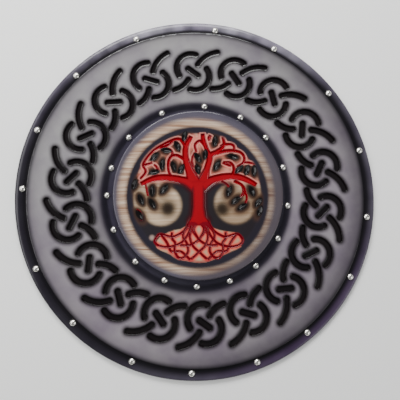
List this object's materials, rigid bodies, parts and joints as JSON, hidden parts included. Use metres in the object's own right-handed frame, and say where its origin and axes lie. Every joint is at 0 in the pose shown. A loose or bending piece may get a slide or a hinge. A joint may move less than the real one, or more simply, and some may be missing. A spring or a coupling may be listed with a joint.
{
  "type": "wooden round shield",
  "caption": "Round wooden shield with a lower rim ledge, a carved knotwork ring, a raised boss carved with a tree of life and rings of domed nails.",
  "frame": {"origin": "middle of the back, on the surface that the shield lies on", "axes": "+Z out of the carved face, +Y to the shield's top edge, +X to its right seen from the face"},
  "size_m": [0.61, 0.61, 0.0223],
  "materials": {
    "painted_board": "airbrushed grey and black paint under gloss lacquer, bare wood at the back",
    "painted_boss": "lacquered pine with airbrushed red and black carving",
    "nail": "polished nickel plating"
  },
  "bodies": {
    "root": {"board": "painted_board", "boss": "painted_boss", "rim_nail_01": "nail", "rim_nail_02": "nail", "rim_nail_03": "nail", "rim_nail_04": "nail", "rim_nail_05": "nail", "rim_nail_06": "nail", "rim_nail_07": "nail", "rim_nail_08": "nail", "rim_nail_09": "nail", "rim_nail_10": "nail", "rim_nail_11": "nail", "rim_nail_12": "nail", "rim_nail_13": "nail", "rim_nail_14": "nail", "rim_nail_15": "nail", "rim_nail_16": "nail", "boss_nail_01": "nail", "boss_nail_02": "nail", "boss_nail_03": "nail", "boss_nail_04": "nail", "boss_nail_05": "nail", "boss_nail_06": "nail", "boss_nail_07": "nail", "boss_nail_08": "nail", "boss_nail_09": "nail", "boss_nail_10": "nail", "boss_nail_11": "nail", "boss_nail_12": "nail", "boss_nail_13": "nail", "boss_nail_14": "nail", "boss_nail_15": "nail", "boss_nail_16": "nail"}
  },
  "joints": []
}
